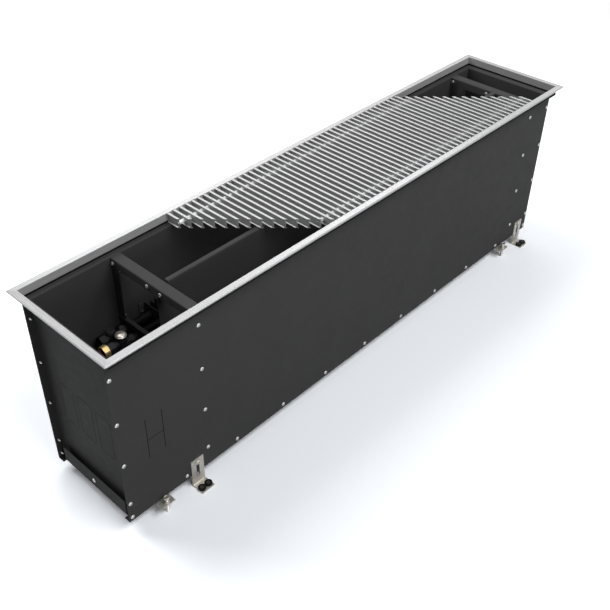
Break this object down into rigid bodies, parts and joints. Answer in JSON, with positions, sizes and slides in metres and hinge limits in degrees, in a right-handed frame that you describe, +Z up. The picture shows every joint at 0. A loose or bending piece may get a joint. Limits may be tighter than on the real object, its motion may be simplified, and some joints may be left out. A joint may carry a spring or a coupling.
{
  "type": "trench convector heater",
  "caption": "Deep trench convector heater: sheet-metal trough with aluminium frame, cut-away cross-slat grille, finned exchanger, water fittings and levelling feet.",
  "frame": {"origin": "on the floor under the middle of the heater", "axes": "+X along the heater, from the end with the water connections; +Y from the front side panel to the rear one; +Z up"},
  "size_m": [1.3224, 0.28, 0.426],
  "materials": {
    "casing_black": "matt powder coat, near black",
    "frame_aluminium": "natural anodised, satin",
    "grille_aluminium": "natural anodised, satin",
    "link_steel": "stainless, drawn",
    "black_rubber": "matt EPDM",
    "fin_black": "black coated fins",
    "pipe_black": "black coated copper tube",
    "fitting_dark": "dark nickel",
    "union_brass": "turned brass",
    "vent_nickel": "polished nickel",
    "cap_plastic": "black plastic",
    "bracket_steel": "bright zinc plated steel",
    "bolt_steel": "zinc plated steel",
    "bright_screws": "bright zinc plated"
  },
  "bodies": {
    "casing": {"front_side_panel": "casing_black", "rear_side_panel": "casing_black", "left_end_panel": "casing_black", "right_end_panel": "casing_black", "base_pan": "casing_black", "front_frame_rail": "frame_aluminium", "rear_frame_rail": "frame_aluminium", "left_frame_rail": "frame_aluminium", "right_frame_rail": "frame_aluminium", "frame_corner_keys": "frame_aluminium", "frame_gasket": "black_rubber", "left_portal": "casing_black", "right_portal": "casing_black", "left_portal_channel": "casing_black", "right_portal_channel": "casing_black", "partition_plate": "casing_black", "exchanger_fins": "fin_black", "exchanger_tubes": "pipe_black", "left_exchanger_plate": "casing_black", "right_exchanger_plate": "casing_black", "exchanger_rivets": "bright_screws", "partition_rivets": "bright_screws", "pipe_grommets": "black_rubber", "supply_valve_body": "fitting_dark", "union_seal_ring": "black_rubber", "supply_pipe_nut": "fitting_dark", "air_vent": "vent_nickel", "return_valve_body": "fitting_dark", "return_pipe_nut": "fitting_dark", "levelling_tabs": "bracket_steel", "levelling_lock_nuts": "bracket_steel", "tab_rivets": "bright_screws", "foot_screws": "bright_screws", "foot_washers": "bright_screws", "foot_rivet_nuts": "bright_screws", "casing_screws": "bright_screws", "portal_screws": "bright_screws", "base_screws": "bright_screws"},
    "grille": {"grille_slats": "grille_aluminium", "grille_spacers": "grille_aluminium", "grille_link_rods": "link_steel"},
    "union_nut": {"supply_union_nut": "union_brass"},
    "vent_screw": {"air_vent_screw": "vent_nickel"},
    "return_cap": {"return_valve_cap": "cap_plastic"},
    "foot_front_left": {"foot_bracket_front_left": "bracket_steel", "foot_bushes_front_left": "black_rubber", "foot_sleeves_front_left": "bright_screws"},
    "leveller_front_left": {"levelling_bolt_front_left": "bolt_steel"},
    "foot_front_right": {"foot_bracket_front_right": "bracket_steel", "foot_bushes_front_right": "black_rubber", "foot_sleeves_front_right": "bright_screws"},
    "leveller_front_right": {"levelling_bolt_front_right": "bolt_steel"},
    "foot_rear_left": {"foot_bracket_rear_left": "bracket_steel", "foot_bushes_rear_left": "black_rubber", "foot_sleeves_rear_left": "bright_screws"},
    "leveller_rear_left": {"levelling_bolt_rear_left": "bolt_steel"},
    "foot_rear_right": {"foot_bracket_rear_right": "bracket_steel", "foot_bushes_rear_right": "black_rubber", "foot_sleeves_rear_right": "bright_screws"},
    "leveller_rear_right": {"levelling_bolt_rear_right": "bolt_steel"}
  },
  "joints": [
    {"name": "grille_lift", "type": "slide", "parent": "casing", "child": "grille", "axis": [0, 0, 1], "range_m": [0, 0.08]},
    {"name": "union_nut_turn", "type": "hinge", "parent": "casing", "child": "union_nut", "pos_m": [-0.544, 0.056, 0.2615], "axis": [1, 0, 0], "continuous": true},
    {"name": "vent_screw_turn", "type": "hinge", "parent": "casing", "child": "vent_screw", "pos_m": [-0.506, 0.056, 0.28], "axis": [0, 0, 1], "range_deg": [0, 180]},
    {"name": "return_cap_turn", "type": "hinge", "parent": "casing", "child": "return_cap", "pos_m": [-0.507, 0.088, 0.267], "axis": [0, 0, 1], "range_deg": [0, 300]},
    {"name": "foot_front_left_slide", "type": "slide", "parent": "casing", "child": "foot_front_left", "axis": [0, 0, 1], "range_m": [0, 0.022]},
    {"name": "leveller_front_left_travel", "type": "slide", "parent": "casing", "child": "leveller_front_left", "axis": [0, 0, 1], "range_m": [-0.0055, 0.022]},
    {"name": "foot_front_right_slide", "type": "slide", "parent": "casing", "child": "foot_front_right", "axis": [0, 0, 1], "range_m": [0, 0.022]},
    {"name": "leveller_front_right_travel", "type": "slide", "parent": "casing", "child": "leveller_front_right", "axis": [0, 0, 1], "range_m": [-0.0055, 0.022]},
    {"name": "foot_rear_left_slide", "type": "slide", "parent": "casing", "child": "foot_rear_left", "axis": [0, 0, 1], "range_m": [0, 0.022]},
    {"name": "leveller_rear_left_travel", "type": "slide", "parent": "casing", "child": "leveller_rear_left", "axis": [0, 0, 1], "range_m": [-0.0055, 0.022]},
    {"name": "foot_rear_right_slide", "type": "slide", "parent": "casing", "child": "foot_rear_right", "axis": [0, 0, 1], "range_m": [0, 0.022]},
    {"name": "leveller_rear_right_travel", "type": "slide", "parent": "casing", "child": "leveller_rear_right", "axis": [0, 0, 1], "range_m": [-0.0055, 0.022]}
  ]
}
